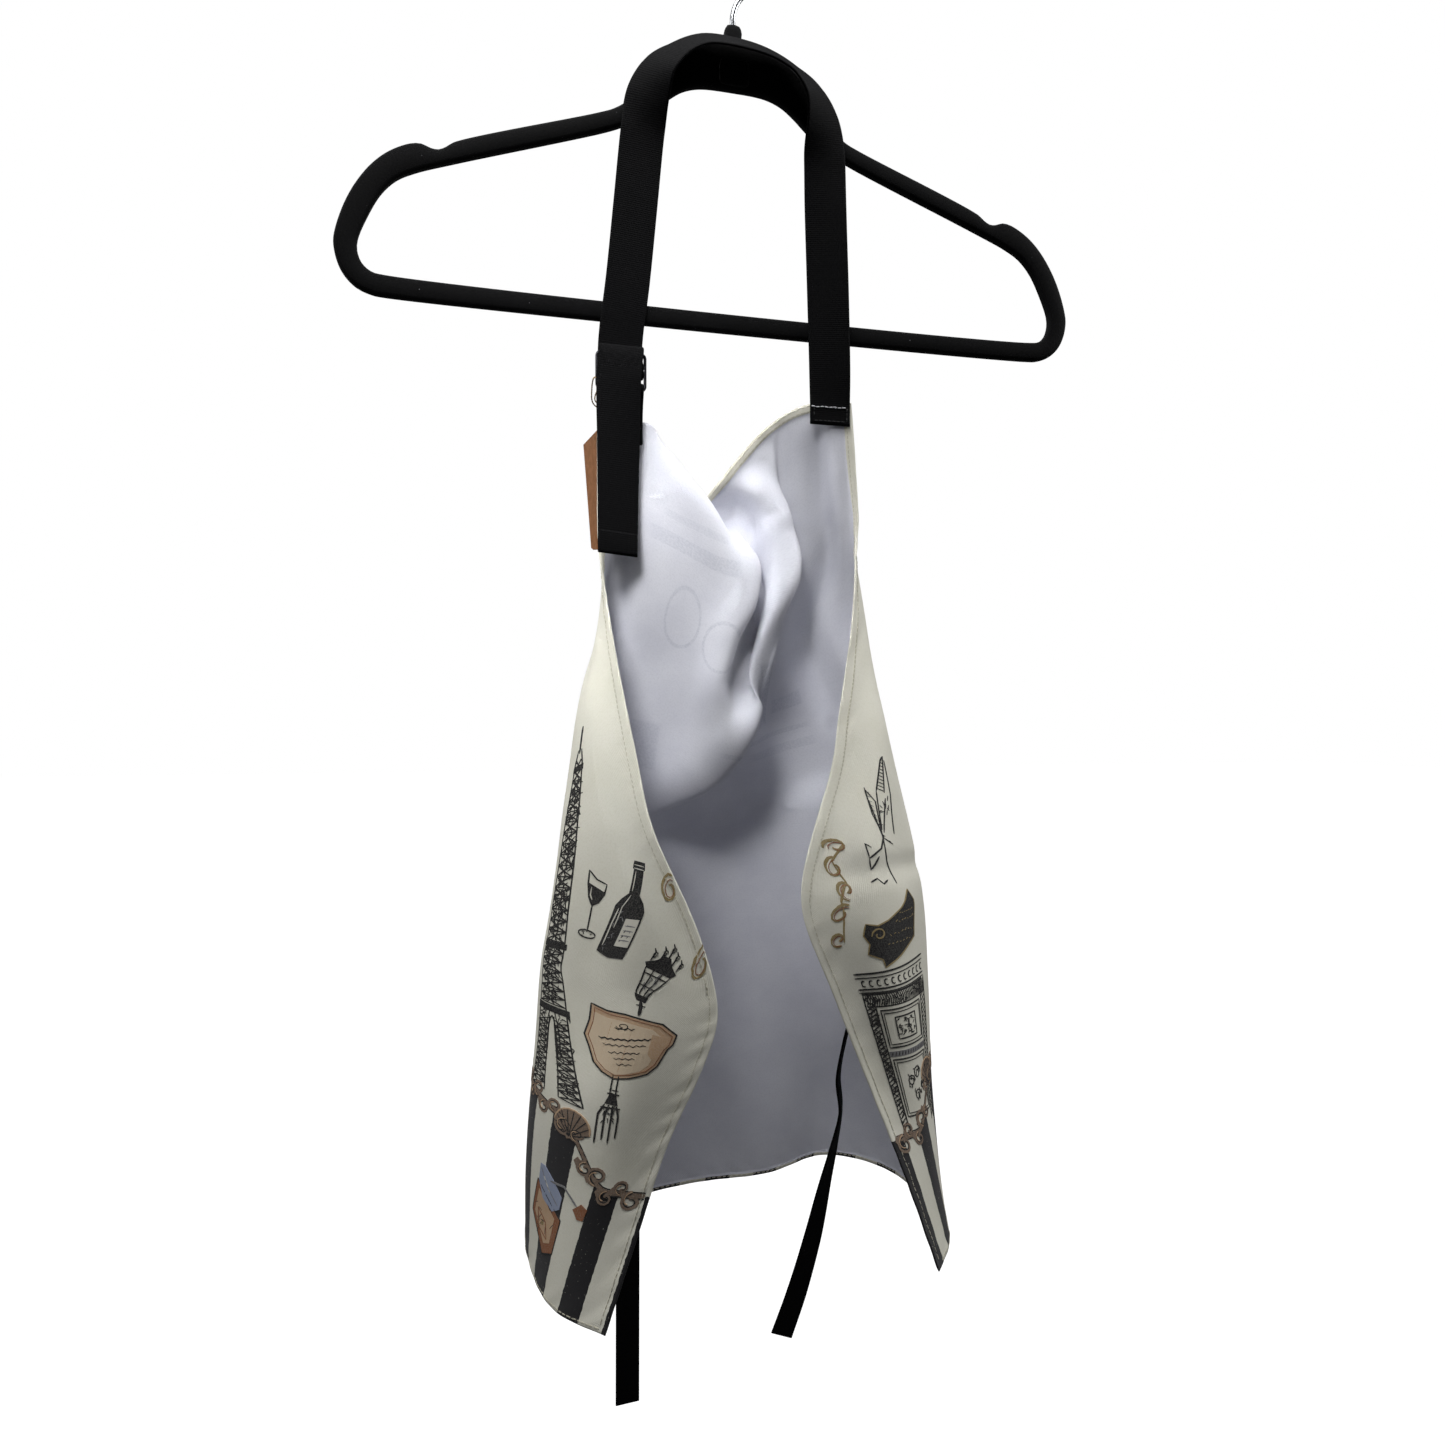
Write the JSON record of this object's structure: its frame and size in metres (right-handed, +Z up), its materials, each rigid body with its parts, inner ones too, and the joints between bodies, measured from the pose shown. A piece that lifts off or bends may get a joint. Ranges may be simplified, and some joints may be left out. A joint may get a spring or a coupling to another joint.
{
  "type": "apron on a clothes hanger",
  "caption": "Child's bib apron hanging by its adjustable neck strap from a flocked clothes hanger with a swivel hook, waist ties and a card swing tag hanging free.",
  "frame": {"origin": "the point of the hook's inner crown that rests on the rail", "axes": "+Z up; the hanger lies in the XZ plane; the apron's unprinted inner face looks towards -Y and its printed face is outside, towards +Y; +X is to the right seen from -Y"},
  "size_m": [0.445, 0.1641, 0.8412],
  "materials": {
    "hook_steel": "bright plated wire",
    "nut_steel": "plain pressed steel",
    "black_flock": "short velvet flock on moulded plastic",
    "black_webbing": "ribbed woven webbing",
    "dark_metal": "dark plated, worn bright on the edges",
    "printed_cloth": "plain weave, cream printed face and white inner face",
    "white_thread": "twisted sewing thread",
    "black_thread": "twisted sewing thread",
    "black_tape": "soft twill tape",
    "kraft_card": "uncoated kraft card",
    "jute_string": "thin twisted string"
  },
  "bodies": {
    "hook": {"hook_wire": "hook_steel", "hook_retaining_nut": "nut_steel"},
    "hanger": {"hanger_body": "black_flock"},
    "apron": {"neck_strap": "black_webbing", "buckle_anchor": "black_webbing", "slide_buckle": "dark_metal", "apron_panel": "printed_cloth", "strap_stitching": "white_thread", "anchor_stitching": "black_thread", "tail_stitching": "black_thread"},
    "tie_left": {"waist_tie_left": "black_tape", "tie_stitching_left": "black_thread"},
    "tie_right": {"waist_tie_right": "black_tape", "tie_stitching_right": "black_thread"},
    "tag": {"hang_tag": "kraft_card", "tag_string": "jute_string"}
  },
  "joints": [
    {"name": "hook_swivel", "type": "hinge", "parent": "hook", "child": "hanger", "pos_m": [0, 0, -0.07], "axis": [0, 0, 1], "continuous": true},
    {"name": "apron_lift", "type": "slide", "parent": "hanger", "child": "apron", "axis": [0, 0, 1], "range_m": [0, 0.026]},
    {"name": "tie_left_swing", "type": "hinge", "parent": "apron", "child": "tie_left", "pos_m": [-0.0725, -0.0401, -0.6225], "axis": [1, 0, 0], "range_deg": [0, 15]},
    {"name": "tie_right_swing", "type": "hinge", "parent": "apron", "child": "tie_right", "pos_m": [0.071, -0.0521, -0.5835], "axis": [1, 0, 0], "range_deg": [0, 15]},
    {"name": "tag_swing", "type": "hinge", "parent": "apron", "child": "tag", "pos_m": [-0.0818, -0.0082, -0.2792], "axis": [1, 0, 0], "range_deg": [0, 20]}
  ]
}
